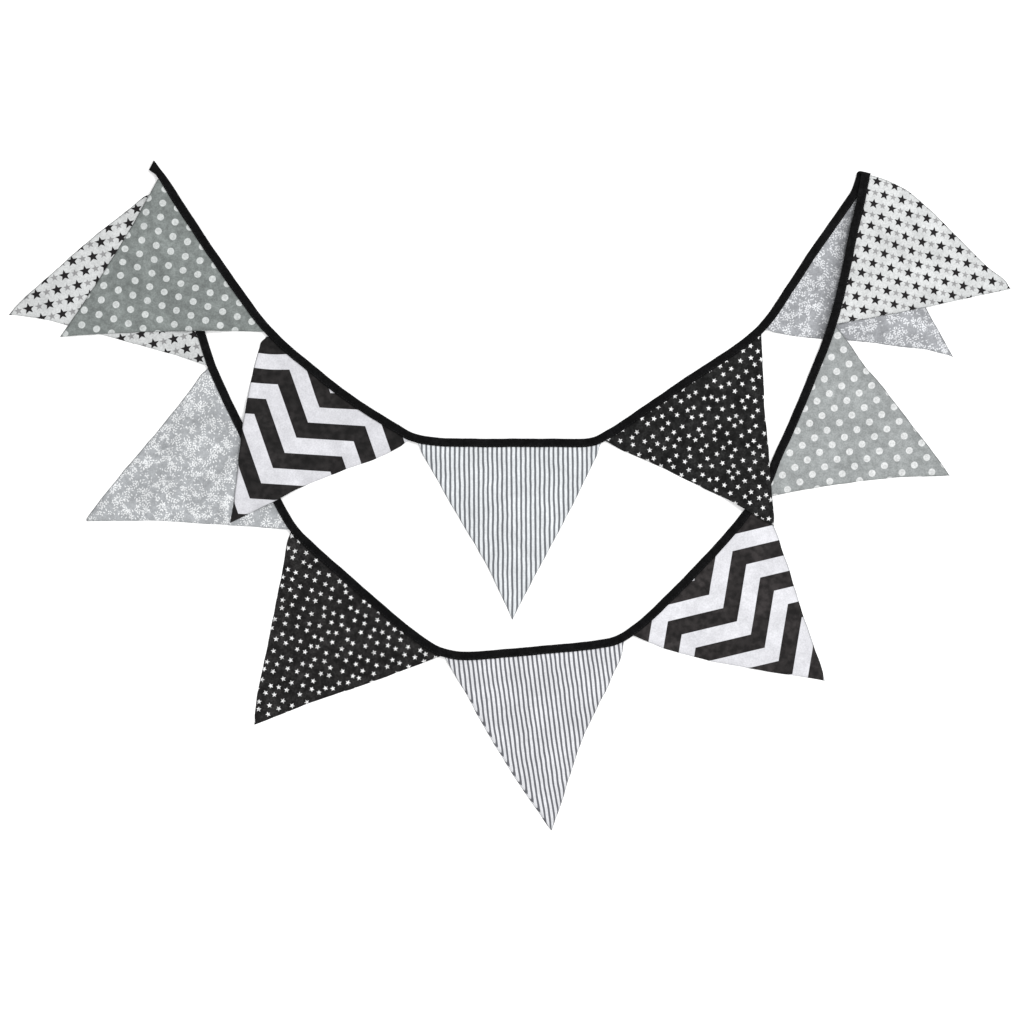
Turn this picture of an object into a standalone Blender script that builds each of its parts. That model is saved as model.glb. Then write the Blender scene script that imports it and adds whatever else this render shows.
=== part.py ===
"""A string of twelve lined cotton pennants on one folded binding, lying on a surface.

The binding runs down from the upper left, across and up to a flat fold at the upper right. There it
turns over and comes back below the first row, to an end that lies hidden under the first pennant.
Tables are in millimetres, x to the right and y up the surface, about the middle of the whole string.
"""

import bmesh
import bpy
import numpy as np

MM = 0.001

# Binding: a tape folded lengthwise over the pennants' upper edges
TAPE_WIDTH = 8.5
TAPE_LEAF = 1.0
TAPE_SPINE = 1.5
SLOT_HEIGHT = 1.6
TAPE_HEIGHT = SLOT_HEIGHT + 2 * TAPE_LEAF
TAPE_END_SKEW = 0.39
FOLD_GAP = 0.6
FOLD_STEPS = 8
FOLD_CREASE_ANGLE = -19.0
STATION_STEP = 5.0

# Pennants: two layers sewn together and turned, drawn as one sheet
CLOTH = 1.0
TUCK = 5.5
DRAPE_GAP = 0.4
EDGE_MARGIN = 6.0
DRAPE_RUN = 26.0
SLOPE_RUN = 20.0
SLOPE_RUN_PER_MM = 6.0
LIFT_POWER = 6.0

# Centre line of the binding: x, y, height of its underside
FIRST_ROW = (
    (-357.2, 330.4, 0.0),
    (-352.4, 324.0, 0.0),
    (-344.5, 313.5, 3.2),
    (-333.0, 296.0, 3.2),
    (-322.0, 279.0, 3.2),
    (-300.0, 245.5, 1.2),
    (-277.0, 212.5, 0.0),
    (-254.0, 180.5, 0.0),
    (-241.0, 165.0, 0.0),
    (-227.0, 151.0, 0.0),
    (-196.0, 125.0, 0.0),
    (-165.0, 100.5, 0.0),
    (-131.0, 78.0, 0.0),
    (-113.5, 67.5, 0.0),
    (-97.0, 58.5, 0.0),
    (-77.0, 54.5, 0.0),
    (-37.0, 53.0, 0.0),
    (3.0, 53.0, 0.0),
    (43.0, 53.0, 0.0),
    (66.0, 52.8, 0.0),
    (84.0, 54.5, 0.0),
    (101.0, 63.0, 0.0),
    (118.0, 74.0, 0.0),
    (151.0, 96.5, 0.0),
    (184.0, 119.0, 0.0),
    (218.0, 141.0, 0.0),
    (234.0, 152.5, 0.0),
    (249.0, 165.0, 0.0),
    (262.0, 180.5, 0.0),
    (284.0, 213.5, 0.0),
    (306.0, 247.0, 0.0),
    (329.0, 279.5, 0.0),
    (340.0, 296.0, 0.0),
    (352.8, 320.4, 0.0),
)
SECOND_ROW = (
    (353.8, 320.0, 4.2),
    (351.8, 297.0, 4.2),
    (345.0, 265.5, 3.2),
    (337.5, 232.0, 1.8),
    (330.0, 200.5, 1.6),
    (321.5, 169.5, 1.6),
    (315.0, 151.0, 1.6),
    (298.0, 108.5, 0.0),
    (284.0, 75.0, 0.0),
    (267.5, 38.5, 0.0),
    (258.5, 16.0, 0.0),
    (249.5, -1.5, 0.0),
    (236.0, -18.2, 0.0),
    (223.5, -34.0, 0.0),
    (196.7, -63.6, 0.0),
    (169.0, -92.3, 0.0),
    (140.3, -120.3, 0.0),
    (125.0, -133.2, 0.0),
    (108.0, -143.6, 0.0),
    (88.0, -148.4, 0.0),
    (48.0, -152.6, 0.0),
    (8.0, -156.2, 0.0),
    (-32.0, -159.5, 0.0),
    (-52.0, -159.6, 0.0),
    (-71.0, -155.0, 0.0),
    (-93.0, -141.6, 0.0),
    (-124.0, -116.5, 0.0),
    (-154.0, -90.3, 0.0),
    (-184.0, -64.0, 0.0),
    (-199.5, -50.0, 0.0),
    (-213.5, -36.0, 0.0),
    (-225.0, -19.0, 0.0),
    (-232.6, -5.0, 0.0),
    (-253.0, 34.0, 0.0),
    (-270.3, 70.0, 0.0),
    (-287.7, 106.2, 0.0),
    (-297.7, 129.2, 0.0),
    (-309.2, 164.0, 0.0),
    (-326.0, 222.0, 0.0),
    (-342.0, 274.5, 0.0),
    (-351.5, 304.2, 0.0),
)

# Pennants in the order in which the binding reaches them: name, row, steps along the base,
# corner A, corner B, tip, then the bow of side A and of side B, outwards, and where each is deepest
PENNANTS = (
    ("flag_01_dots", 1, 20, (-350.5, 317.0), (-246.0, 164.0), (-449.5, 159.0), -2.8, 0.5, -2.8, 0.5),
    ("flag_02_chevron", 1, 20, (-244.5, 158.0), (-102.5, 52.5), (-279.5, -27.0), 7.2, 0.35, -1.2, 0.5),
    ("flag_03_stripe", 1, 14, (-92.0, 50.5), (91.5, 50.5), (2.5, -124.0), -1.0, 0.7, 1.8, 0.4),
    ("flag_04_stars", 1, 20, (96.5, 52.5), (251.5, 161.0), (264.0, -30.0), 0.4, 0.5, -0.8, 0.4),
    ("flag_05_leaves", 1, 14, (258.0, 164.0), (349.5, 304.0), (443.5, 138.5), -2.7, 0.7, 0.6, 0.5),
    ("flag_06_two_stars", 2, 20, (360.0, 318.0), (327.5, 173.5), (501.0, 206.5), 10.4, 0.32, 3.0, 0.4),
    ("flag_07_dots", 2, 16, (326.5, 169.0), (254.0, -1.0), (440.0, 20.0), 0.8, 0.55, -3.8, 0.55),
    ("flag_08_chevron", 2, 14, (252.0, -6.0), (124.5, -140.5), (315.0, -185.0), 2.5, 0.4, 7.0, 0.4),
    ("flag_09_stripe", 2, 14, (115.5, -146.5), (-65.0, -163.0), (42.0, -334.5), -1.0, 0.6, 4.8, 0.5),
    ("flag_10_stars", 2, 14, (-69.5, -161.0), (-217.0, -38.5), (-255.5, -229.0), 1.2, 0.4, 1.6, 0.5),
    ("flag_11_leaves", 2, 14, (-220.5, -33.5), (-302.0, 127.0), (-423.0, -25.5), -2.4, 0.55, 2.4, 0.7),
    ("flag_12_two_stars", 2, 14, (-303.5, 131.5), (-355.5, 302.5), (-501.0, 181.0), -4.6, 0.65, 4.6, 0.45),
)

# What each upper pennant is draped over: upper, lower pennants, and whether the second row's tape too
DRAPES = (
    ("flag_01_dots", ("flag_12_two_stars",), True),
    ("flag_02_chevron", ("flag_11_leaves",), True),
    ("flag_04_stars", ("flag_07_dots", "flag_08_chevron"), True),
    ("flag_06_two_stars", ("flag_05_leaves",), False),
    ("flag_07_dots", ("flag_05_leaves",), False),
)

# Low swells where the cloth stands off the surface: pennant, x, y, length, width, turn, height
SWELLS = (
    ("flag_01_dots", -385.0, 215.0, 42.0, 16.0, 35.0, 1.2),
    ("flag_02_chevron", -170.0, 55.0, 38.0, 13.0, -70.0, 1.4),
    ("flag_03_stripe", -28.0, -8.0, 46.0, 12.0, 75.0, 1.5),
    ("flag_03_stripe", 36.0, -22.0, 38.0, 11.0, -60.0, 1.1),
    ("flag_04_stars", 200.0, 62.0, 44.0, 15.0, 40.0, 1.4),
    ("flag_05_leaves", 408.0, 165.0, 30.0, 11.0, -40.0, 0.9),
    ("flag_06_two_stars", 418.0, 262.0, 48.0, 13.0, -42.0, 2.2),
    ("flag_06_two_stars", 452.0, 215.0, 36.0, 12.0, 10.0, 1.2),
    ("flag_07_dots", 372.0, 62.0, 46.0, 13.0, -55.0, 1.5),
    ("flag_08_chevron", 238.0, -112.0, 44.0, 14.0, -55.0, 1.6),
    ("flag_09_stripe", 22.0, -232.0, 52.0, 12.0, 80.0, 1.6),
    ("flag_09_stripe", 62.0, -212.0, 36.0, 10.0, -65.0, 1.1),
    ("flag_10_stars", -190.0, -128.0, 46.0, 14.0, 60.0, 1.5),
    ("flag_11_leaves", -352.0, 22.0, 44.0, 14.0, 35.0, 1.3),
    ("flag_12_two_stars", -438.0, 196.0, 38.0, 12.0, 15.0, 1.1),
)

# Surface finish: node prefix part, colour, roughness
FINISHES = {
    "tape": ((0.010, 0.010, 0.012), 0.80),
    "dots": ((0.29, 0.30, 0.30), 0.86),
    "chevron": ((0.026, 0.025, 0.024), 0.86),
    "stripe": ((0.62, 0.63, 0.65), 0.86),
    "stars": ((0.020, 0.020, 0.020), 0.86),
    "leaves": ((0.44, 0.46, 0.48), 0.86),
    "two_stars": ((0.80, 0.82, 0.82), 0.86),
}


def clear_scene():
    """Remove every object that the file holds."""
    for item in list(bpy.data.objects):
        bpy.data.objects.remove(item, do_unlink=True)


def ease(x):
    """Smooth step from 0 to 1."""
    x = np.clip(x, 0.0, 1.0)
    return x * x * (3.0 - 2.0 * x)


def spline(points, per_span=24):
    """Dense points on a centripetal Catmull-Rom curve through the given points."""
    pts = np.asarray(points, float)
    first = 2 * pts[0] - pts[1]
    last = 2 * pts[-1] - pts[-2]
    pts = np.vstack([first, pts, last])
    out = []
    for p0, p1, p2, p3 in zip(pts[:-3], pts[1:-2], pts[2:-1], pts[3:]):
        t0 = 0.0
        t1 = t0 + np.linalg.norm(p1 - p0) ** 0.5
        t2 = t1 + np.linalg.norm(p2 - p1) ** 0.5
        t3 = t2 + np.linalg.norm(p3 - p2) ** 0.5
        for t in np.linspace(t1, t2, per_span, endpoint=False):
            a1 = ((t1 - t) * p0 + (t - t0) * p1) / (t1 - t0)
            a2 = ((t2 - t) * p1 + (t - t1) * p2) / (t2 - t1)
            a3 = ((t3 - t) * p2 + (t - t2) * p3) / (t3 - t2)
            b1 = ((t2 - t) * a1 + (t - t0) * a2) / (t2 - t0)
            b2 = ((t3 - t) * a2 + (t - t1) * a3) / (t3 - t1)
            out.append(((t2 - t) * b1 + (t - t1) * b2) / (t2 - t1))
    out.append(pts[-2])
    return np.array(out)


class Strand:
    """One row of the binding: its centre line, and the side on which its pennants lie."""

    def __init__(self, rows, side):
        dense = spline(rows)
        self.xy = dense[:, :2]
        self.rest = np.maximum(dense[:, 2], 0.0)
        self.side = side
        steps = np.linalg.norm(np.diff(self.xy, axis=0), axis=1)
        self.s = np.concatenate([[0.0], np.cumsum(steps)])
        self.length = self.s[-1]
        tangent = np.gradient(self.xy, axis=0)
        self.tangent = tangent / np.linalg.norm(tangent, axis=1)[:, None]

    def at(self, s):
        """Centre, direction, sideways vector towards the pennants, and height of the underside."""
        centre = np.array([np.interp(s, self.s, self.xy[:, k]) for k in range(2)]).T
        tangent = np.array([np.interp(s, self.s, self.tangent[:, k]) for k in range(2)]).T
        tangent /= np.linalg.norm(tangent, axis=-1, keepdims=True)
        across = self.side * np.stack([tangent[..., 1], -tangent[..., 0]], axis=-1)
        return centre, tangent, across, np.interp(s, self.s, self.rest)

    def nearest(self, points):
        """Length along the row, and distance, of the row's point nearest to each given point."""
        gaps = np.linalg.norm(points[:, None, :] - self.xy[None, :, :], axis=2)
        best = gaps.argmin(axis=1)
        return self.s[best], gaps[np.arange(len(points)), best]

    def over(self, points):
        """Height to which cloth is lifted where it crosses this row of the binding."""
        s, gap = self.nearest(points)
        top = np.interp(s, self.s, self.rest) + TAPE_HEIGHT + DRAPE_GAP
        beyond = gap - TAPE_WIDTH / 2 - EDGE_MARGIN
        return top * (1.0 - ease(beyond / DRAPE_RUN))


def side_points(start, tip, centre, bow, peak, v):
    """Points on a pennant's side, v from 0 at the binding to 1 at the tip."""
    start = np.asarray(start, float)
    tip = np.asarray(tip, float)
    along = tip - start
    normal = np.array([along[1], -along[0]]) / np.linalg.norm(along)
    if np.dot(normal, start - centre) < 0:
        normal = -normal
    v = np.asarray(v, float)[..., None]
    fall = (1.0 - peak) / peak
    shape = (v / peak) * (np.maximum(1.0 - v, 0.0) / (1.0 - peak)) ** fall
    return start + along * v + normal * bow * shape


class Pennant:
    """One pennant: its outline on the surface, and the height of the middle of its cloth."""

    def __init__(self, row, strands):
        (self.name, strand, self.steps, a, b, self.tip,
         self.bow_a, self.peak_a, self.bow_b, self.peak_b) = row
        self.strand = strands[strand]
        ends, _ = self.strand.nearest(np.array([a, b], float))
        self.s_base = np.linspace(ends[0], ends[1], self.steps + 1)
        centre, _, across, rest = self.strand.at(self.s_base)
        self.base = centre + across * TAPE_WIDTH / 2
        self.tucked = self.base - across * TUCK
        self.slot = rest + TAPE_HEIGHT / 2
        self.middle = (self.base[0] + self.base[-1] + np.array(self.tip)) / 3
        self.lower = []
        self.over_tape = None
        self.swells = [swell[1:] for swell in SWELLS if swell[0] == self.name]
        v = np.linspace(0.0, 1.0, 25)
        side_a = self.side(0, v)
        side_b = self.side(1, v)
        self.outline = np.vstack([side_a, side_b[-2::-1], self.base[-2:0:-1]])

    def side(self, which, v):
        """Points on side A (0) or side B (1)."""
        if which == 0:
            return side_points(self.base[0], self.tip, self.middle, self.bow_a, self.peak_a, v)
        return side_points(self.base[-1], self.tip, self.middle, self.bow_b, self.peak_b, v)

    def row(self, k):
        """Points of row k of the cloth's triangular net, from side A to side B."""
        v = k / self.steps
        count = self.steps - k
        if count == 0:
            return np.array([self.tip], float)
        f = np.linspace(0.0, 1.0, count + 1)[:, None]
        left = self.side(0, v)
        right = self.side(1, v)
        places = np.linspace(0.0, self.steps, count + 1)
        base = np.array([np.interp(places, np.arange(self.steps + 1), self.base[:, c]) for c in range(2)]).T
        sag = base - (self.base[0] + (self.base[-1] - self.base[0]) * f)
        return left + (right - left) * f + sag * (1.0 - v) ** 2

    def outside(self, points):
        """Distance of each point outside the outline, negative inside."""
        start = self.outline
        end = np.roll(self.outline, -1, axis=0)
        along = end - start
        rel = points[:, None, :] - start[None, :, :]
        part = np.clip((rel * along).sum(2) / (along ** 2).sum(1), 0.0, 1.0)
        gap = np.linalg.norm(rel - part[..., None] * along, axis=2).min(axis=1)
        above = (start[None, :, 1] > points[:, None, 1]) != (end[None, :, 1] > points[:, None, 1])
        rise = np.where(along[:, 1] == 0, 1.0, along[:, 1])
        cross_x = start[:, 0] + (points[:, None, 1] - start[:, 1]) / rise * along[:, 0]
        inside = (above & (points[:, None, 0] < cross_x)).sum(axis=1) % 2 == 1
        return np.where(inside, -gap, gap)

    def lift(self, points):
        """Height of the cloth's underside above the surface."""
        s, gap = self.strand.nearest(points)
        s = np.clip(s, self.s_base[0], self.s_base[-1])
        _, _, _, rest = self.strand.at(s)
        from_slot = rest + TAPE_HEIGHT / 2 - CLOTH / 2
        run = SLOPE_RUN + SLOPE_RUN_PER_MM * from_slot
        lifts = [from_slot * (1.0 - ease((gap - TAPE_WIDTH / 2) / run))]
        if self.over_tape is not None:
            lifts.append(self.over_tape.over(points))
        for other in self.lower:
            beyond = other.outside(points) - EDGE_MARGIN
            top = other.lift(points) + CLOTH + DRAPE_GAP
            lifts.append(top * (1.0 - ease(beyond / DRAPE_RUN)))
        for x, y, length, width, turn, height in self.swells:
            angle = np.radians(turn)
            rel = points - np.array([x, y])
            u = (rel[:, 0] * np.cos(angle) + rel[:, 1] * np.sin(angle)) / length
            w = (rel[:, 1] * np.cos(angle) - rel[:, 0] * np.sin(angle)) / width
            lifts.append(height * (1.0 - ease(np.sqrt(u * u + w * w))))
        return (np.array(lifts) ** LIFT_POWER).sum(axis=0) ** (1.0 / LIFT_POWER)

    def height(self, points):
        """Height of the middle of the cloth."""
        return self.lift(points) + CLOTH / 2


def tape_section():
    """Corners of the folded binding's section: distance towards the pennants, and height."""
    half = TAPE_WIDTH / 2
    top = TAPE_HEIGHT / 2
    slot = SLOT_HEIGHT / 2
    root = TAPE_SPINE - half
    return np.array([
        (-half, -top), (half, -top), (half, -slot), (root, -slot),
        (root, slot), (half, slot), (half, top), (-half, top),
    ])


def fill_gap(start, end):
    """Even lengths from start to end, start left out."""
    count = max(1, int(round((end - start) / STATION_STEP)))
    return np.linspace(start, end, count + 1)[1:]


def tape_stations(strand, pennants):
    """Lengths along a row at which its section is drawn: at the net of each pennant and between."""
    stations = [0.0]
    for pennant in pennants:
        stations.extend(fill_gap(stations[-1], pennant.s_base[0]))
        stations.extend(pennant.s_base[1:])
    stations.extend(fill_gap(stations[-1], strand.length))
    return np.array(stations)


def tape_frames(strand, stations):
    """Centre and the two unit vectors of the section at each station of a row."""
    centre, tangent, across, rest = strand.at(stations)
    places = np.column_stack([centre, rest + TAPE_HEIGHT / 2])
    sideways = np.column_stack([across, np.zeros(len(stations))])
    upright = np.tile([0.0, 0.0, float(strand.side)], (len(stations), 1))
    return places, sideways, upright, tangent


def fold_frames(place, tangent, across):
    """Frames of the flat fold, in which the binding turns over and back on itself."""
    radius = (TAPE_HEIGHT + FOLD_GAP) / 2
    incoming = np.array([tangent[0], tangent[1], 0.0])
    up = np.array([0.0, 0.0, 1.0])
    crease = np.radians(FOLD_CREASE_ANGLE)
    axis = np.array([np.cos(crease), np.sin(crease), 0.0])
    ahead = np.cross(up, axis)
    along = np.dot(incoming, axis) / np.dot(incoming, ahead)
    side = np.array([across[0], across[1], 0.0])
    frames = []
    for k in range(1, FOLD_STEPS):
        angle = np.pi * k / FOLD_STEPS
        place_k = (place + axis * along * radius * angle + ahead * radius * np.sin(angle)
                   + up * radius * (1.0 - np.cos(angle)))
        ahead_k = ahead * np.cos(angle) + up * np.sin(angle)
        up_k = up * np.cos(angle) - ahead * np.sin(angle)
        side_k = axis * np.dot(side, axis) + ahead_k * np.dot(side, ahead)
        frames.append((place_k, side_k, up_k))
    return frames


def new_object(name, verts, faces, finish):
    """Closed mesh object with its own material, from points in millimetres."""
    mesh = bpy.data.meshes.new(name)
    mesh.from_pydata([tuple(v) for v in np.asarray(verts) * MM], [], faces)
    work = bmesh.new()
    work.from_mesh(mesh)
    bmesh.ops.recalc_face_normals(work, faces=work.faces)
    work.to_mesh(mesh)
    work.free()
    mesh.shade_smooth()
    mesh.set_sharp_from_angle(angle=np.radians(40.0))
    item = bpy.data.objects.new(name, mesh)
    bpy.context.scene.collection.objects.link(item)
    colour, roughness = FINISHES[finish]
    material = bpy.data.materials.new(name)
    material.use_nodes = True
    shader = material.node_tree.nodes["Principled BSDF"]
    shader.inputs["Base Color"].default_value = (*colour, 1.0)
    shader.inputs["Roughness"].default_value = roughness
    shader.inputs["Metallic"].default_value = 0.0
    mesh.materials.append(material)
    return item


def build_pennant(pennant):
    """The pennant's sheet: a triangular net above and below, joined round its rim."""
    rows = [pennant.tucked]
    heights = [pennant.slot]
    for k in range(pennant.steps + 1):
        points = pennant.row(k)
        rows.append(points)
        heights.append(pennant.slot if k == 0 else pennant.height(points))
    starts = np.concatenate([[0], np.cumsum([len(row) for row in rows])])
    flat = np.vstack(rows)
    z = np.concatenate(heights)
    count = len(flat)
    top = np.column_stack([flat, z + CLOTH / 2])
    bottom = np.column_stack([flat, np.maximum(z - CLOTH / 2, 0.0)])
    cells = []
    for j in range(pennant.steps):
        a, b = starts[0] + j, starts[1] + j
        cells.append((a, b, b + 1))
        cells.append((a, b + 1, a + 1))
    for k in range(1, len(rows) - 1):
        wide = len(rows[k])
        for j in range(wide - 1):
            a, b = starts[k] + j, starts[k + 1] + j
            cells.append((a, b, a + 1))
            if j < wide - 2:
                cells.append((a + 1, b, b + 1))
    rim = [starts[k] for k in range(len(rows))]
    rim += [starts[k] + len(rows[k]) - 1 for k in range(len(rows) - 2, -1, -1)]
    rim += [starts[0] + j for j in range(len(rows[0]) - 2, 0, -1)]
    faces = [tuple(int(i) for i in cell) for cell in cells]
    faces += [tuple(int(i) + count for i in reversed(cell)) for cell in cells]
    for i, j in zip(rim, rim[1:] + rim[:1]):
        faces.append((int(i), int(j), int(j) + count))
        faces.append((int(i), int(j) + count, int(i) + count))
    finish = pennant.name.split("_", 2)[2]
    return new_object(pennant.name, np.vstack([top, bottom]), faces, finish)


def build_tape(strands, pennants):
    """The whole binding as one piece: first row, flat fold, second row."""
    first, second = strands[1], strands[2]
    on_first = [p for p in pennants if p.strand is first]
    on_second = [p for p in pennants if p.strand is second]
    rings = []
    section = tape_section()

    def add(place, sideways, upright, shift=None):
        ring = place + section[:, :1] * sideways + section[:, 1:] * upright
        if shift is not None:
            ring = ring + section[:, :1] * shift
        rings.append(ring)

    stations = tape_stations(first, on_first)
    places, sideways, upright, tangent = tape_frames(first, stations)
    for k in range(len(stations)):
        shift = None
        if k == 0:
            shift = TAPE_END_SKEW * np.array([tangent[0][0], tangent[0][1], 0.0])
        add(places[k], sideways[k], upright[k], shift)
    for place, side, up in fold_frames(places[-1], tangent[-1], sideways[-1][:2]):
        add(place, side, up)
    stations = tape_stations(second, on_second)
    places, sideways, upright, tangent = tape_frames(second, stations)
    for k in range(len(stations)):
        add(places[k], sideways[k], upright[k])

    corners = len(section)
    verts = np.vstack(rings)
    faces = []
    for r in range(len(rings) - 1):
        for c in range(corners):
            a = r * corners + c
            b = r * corners + (c + 1) % corners
            faces.append((a, b, b + corners, a + corners))
    for base in (0, (len(rings) - 1) * corners):
        faces.append((base, base + 1, base + 2, base + 3))
        faces.append((base, base + 3, base + 4, base + 7))
        faces.append((base + 4, base + 5, base + 6, base + 7))
    return new_object("tape", verts, faces, "tape")


def main():
    """Build the binding and its pennants."""
    clear_scene()
    strands = {1: Strand(FIRST_ROW, 1), 2: Strand(SECOND_ROW, -1)}
    pennants = [Pennant(row, strands) for row in PENNANTS]
    by_name = {pennant.name: pennant for pennant in pennants}
    for upper, lower, over_tape in DRAPES:
        by_name[upper].lower = [by_name[name] for name in lower]
        if over_tape:
            by_name[upper].over_tape = strands[2]
    build_tape(strands, pennants)
    for pennant in pennants:
        build_pennant(pennant)


main()
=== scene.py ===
"""Looks of a string of twelve lined cotton pennants on one folded binding, lying on a surface.

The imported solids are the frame. Each pennant and the binding are drawn again on the same outline and folds,
finer: turned edges, seam allowance, creases, the binding's rounded spine, its turned lips and its stitches.
Tables are in millimetres, x to the right and y up the surface, as in the solids' source. Pennants are known
by their numbers, in the order in which the binding reaches them.
"""

import bmesh
import bpy
import numpy as np
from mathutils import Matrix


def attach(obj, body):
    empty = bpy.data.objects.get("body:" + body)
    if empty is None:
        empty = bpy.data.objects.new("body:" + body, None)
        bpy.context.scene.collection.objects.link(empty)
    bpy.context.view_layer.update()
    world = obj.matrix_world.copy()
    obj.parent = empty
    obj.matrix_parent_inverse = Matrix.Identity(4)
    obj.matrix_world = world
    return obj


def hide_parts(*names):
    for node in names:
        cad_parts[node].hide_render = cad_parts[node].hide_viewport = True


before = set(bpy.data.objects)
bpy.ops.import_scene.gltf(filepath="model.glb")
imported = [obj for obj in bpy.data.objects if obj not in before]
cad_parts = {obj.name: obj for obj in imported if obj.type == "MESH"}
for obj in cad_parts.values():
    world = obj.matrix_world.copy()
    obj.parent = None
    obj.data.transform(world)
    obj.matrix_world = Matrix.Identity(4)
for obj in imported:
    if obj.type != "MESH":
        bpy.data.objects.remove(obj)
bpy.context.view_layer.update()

MM = 0.001

# Binding: a tape folded lengthwise over the pennants' upper edges
TAPE_WIDTH = 8.5
TAPE_LEAF = 1.0
SLOT_HEIGHT = 1.6
TAPE_HEIGHT = SLOT_HEIGHT + 2 * TAPE_LEAF
TAPE_END_SKEW = 0.58
TAPE_END_REACH = 0.8
TAPE_END_RUN = 5.0
FOLD_GAP = 0.6
FOLD_STEPS = 28
FOLD_CREASE_ANGLE = -18.0
FOLD_SPREAD = 0.5
TAPE_STEP = 2.0
LIP_PINCH = 0.16
LIP_RUN = 3.0
SPINE_REACH = 1.7
ARC_STEPS = 10
LEAF_STEPS = 7
LIP_PLACES = (0.0, 0.12, 0.35, 0.8)
LIP_LEAST = 0.06
TAPE_WAVER = 0.10
TAPE_WAVER_FADE = 10.0
STITCH_START = 4.0
STITCH_PITCH = 2.8
STITCH_LENGTH = 2.0
STITCH_INSET = 1.3
STITCH_RADIUS = 0.16
STITCH_SIDES = 6
STITCH_SINK = 0.7
STITCH_TAPER = 0.45

# How far the open edge stands out near the cut end: length along the binding, outwards
TAPE_END_EDGE = ((0.0, 1.3), (4.0, 0.45), (9.0, -1.2), (22.0, -0.6), (34.0, 0.0))

# Pennants: two layers sewn together and turned
CLOTH = 1.0
TUCK = 5.5
NET_STEPS = 124
SIDE_STEPS = 48
EDGE_COLUMNS = (0.25, 0.6, 1.0, 1.6)
EDGE_ROUND = 0.95
EDGE_TURN = 1.0
EDGE_TURN_REACH = 1.4
EDGE_LIGHT = 1.1
RIM_HALF = 0.07
SEAM_START = 2.0
SEAM_WIDTH = 6.0
SEAM_FADE = 2.2
SEAM_RISE = 0.22
SIDE_WAVER = 0.22
BULGE_FADE = 0.05
DRAPE_GAP = 0.4
EDGE_MARGIN = 6.0
DRAPE_RUN = 26.0
SLOPE_RUN = 20.0
SLOPE_RUN_PER_MM = 6.0
LIFT_POWER = 6.0

# Centre line of the binding: x, y, height of its underside
FIRST_ROW = (
    (-357.2, 330.4, 0), (-352.4, 324, 0), (-344.5, 313.5, 3.2), (-333, 296, 3.2),
    (-322, 279, 3.2), (-300, 245.5, 1.2), (-277, 212.5, 0), (-254, 180.5, 0),
    (-241, 165, 0), (-227, 151, 0), (-196, 125, 0), (-165, 100.5, 0),
    (-131, 78, 0), (-113.5, 67.5, 0), (-97, 58.5, 0), (-77, 54.5, 0),
    (-37, 53, 0), (3, 53, 0), (43, 53, 0), (66, 52.8, 0),
    (84, 54.5, 0), (101, 63, 0), (118, 74, 0), (151, 96.5, 0),
    (184, 119, 0), (218, 141, 0), (234, 152.5, 0), (249, 165, 0),
    (262, 180.5, 0), (284, 213.5, 0), (306, 247, 0), (329, 279.5, 0),
    (339.5, 295, 0), (344.9, 303, 0), (347.7, 310, 0), (350.3, 318.4, 0),
)
SECOND_ROW = (
    (355.3, 320.9, 4.2), (350.9, 297, 4.2), (343.7, 265.5, 3.2), (337, 232, 1.8),
    (330, 200.5, 1.6), (321.5, 169.5, 1.6), (315, 151, 1.6), (298, 108.5, 0),
    (284, 75, 0), (267.5, 38.5, 0), (258.5, 16, 0), (249.5, -1.5, 0),
    (236, -18.2, 0), (223.5, -34, 0), (196.7, -63.6, 0), (169, -92.3, 0),
    (140.3, -120.3, 0), (125, -133.2, 0), (108, -143.6, 0), (88, -148.4, 0),
    (48, -152.6, 0), (8, -156.2, 0), (-32, -159.5, 0), (-52, -159.6, 0),
    (-71, -155, 0), (-93, -141.6, 0), (-124, -116.5, 0), (-154, -90.3, 0),
    (-184, -64, 0), (-199.5, -50, 0), (-213.5, -36, 0), (-225, -19, 0),
    (-232.6, -5, 0), (-253, 34, 0), (-270.3, 70, 0), (-287.7, 106.2, 0),
    (-297.7, 129.2, 0), (-309.2, 164, 0), (-326, 222, 0), (-342, 274.5, 0),
    (-351.5, 304.2, 0),
)

# Pennants in the order in which the binding reaches them: print, row, corner A, corner B, tip,
# then how far side A bows outwards and where it is deepest, and the same of side B
PENNANTS = (
    ("dots", 1, (-350.5, 317), (-246, 164), (-449.5, 159), -2.8, 0.5, -2.8, 0.5),
    ("chevron", 1, (-244.5, 158), (-102.5, 52.5), (-279.5, -27), 7.2, 0.35, -1.2, 0.5),
    ("stripe", 1, (-92, 50.5), (91.5, 50.5), (2.5, -124), 0.3, 0.3, 2.6, 0.3),
    ("stars", 1, (96.5, 52.5), (251.5, 161), (264, -30), -1.8, 0.5, -0.8, 0.4),
    ("leaves", 1, (258, 164), (349.5, 304), (443.5, 138.5), -2.7, 0.7, 0.6, 0.5),
    ("two_stars", 2, (360, 320.6), (327, 171.6), (501, 206.8), 12, 0.30, 1, 0.4),
    ("dots", 2, (326.5, 169), (254, -1), (440, 20), 0.8, 0.55, -4.9, 0.56),
    ("chevron", 2, (252, -6), (124.5, -140.5), (315, -185), 3, 0.4, 7, 0.4),
    ("stripe", 2, (115.5, -146.5), (-65, -163), (42, -334.5), -1, 0.6, 3.8, 0.62),
    ("stars", 2, (-69.5, -161), (-219.2, -36), (-255.5, -229), 0.6, 0.4, 1.6, 0.5),
    ("leaves", 2, (-220.5, -33.5), (-302, 127), (-423, -25.5), -2.4, 0.55, 2.8, 0.82),
    ("two_stars", 2, (-303.1, 130), (-355.5, 302.5), (-501, 181), -3.6, 0.60, 5.4, 0.42),
)

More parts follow.
